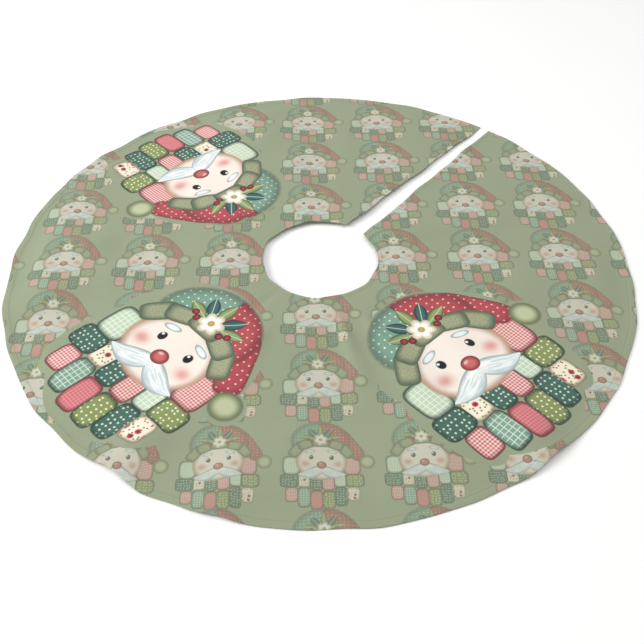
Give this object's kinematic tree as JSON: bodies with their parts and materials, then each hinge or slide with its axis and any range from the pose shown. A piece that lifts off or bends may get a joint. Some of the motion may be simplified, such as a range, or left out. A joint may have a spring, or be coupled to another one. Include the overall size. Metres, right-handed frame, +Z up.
{
  "type": "tree skirt",
  "caption": "Round cloth tree skirt with a trunk hole and a slit to the rim, hemmed and stitched all round, with two flaps beside the slit that fold back to open it.",
  "frame": {"origin": "on the floor, in the middle of the trunk hole", "axes": "+Z up, +Y along the slit from the trunk hole to the rim, -Y to the front of the skirt"},
  "size_m": [1.1176, 1.1175, 0.0165],
  "materials": {
    "printed_cloth": "plain-woven polyester, sage green with a printed motif, matt with a faint sheen; its reverse is unprinted white, and the hems turn the printed side under",
    "sewing_thread": "spun polyester sewing thread, dyed to match the ground"
  },
  "bodies": {
    "skirt": {"cloth_main": "printed_cloth", "rim_hem_main": "printed_cloth", "hole_hem_main": "printed_cloth", "rim_stitch_main": "sewing_thread", "hole_stitch_main": "sewing_thread"},
    "left_flap": {"cloth_left_flap": "printed_cloth", "rim_hem_left_flap": "printed_cloth", "hole_hem_left_flap": "printed_cloth", "slit_hem_left_flap": "printed_cloth", "rim_stitch_left_flap": "sewing_thread", "hole_stitch_left_flap": "sewing_thread", "slit_stitch_left_flap": "sewing_thread"},
    "right_flap": {"cloth_right_flap": "printed_cloth", "rim_hem_right_flap": "printed_cloth", "hole_hem_right_flap": "printed_cloth", "slit_hem_right_flap": "printed_cloth", "rim_stitch_right_flap": "sewing_thread", "hole_stitch_right_flap": "sewing_thread", "slit_stitch_right_flap": "sewing_thread"}
  },
  "joints": [
    {"name": "left_flap_fold", "type": "hinge", "parent": "skirt", "child": "left_flap", "pos_m": [-0.06749, 0.08044, 0.0096], "axis": [0.6427, -0.766, 0.0143], "range_deg": [0, 150]},
    {"name": "right_flap_fold", "type": "hinge", "parent": "skirt", "child": "right_flap", "pos_m": [0.06749, 0.08044, 0.0096], "axis": [0.6427, 0.766, -0.0143], "range_deg": [0, 150]}
  ]
}
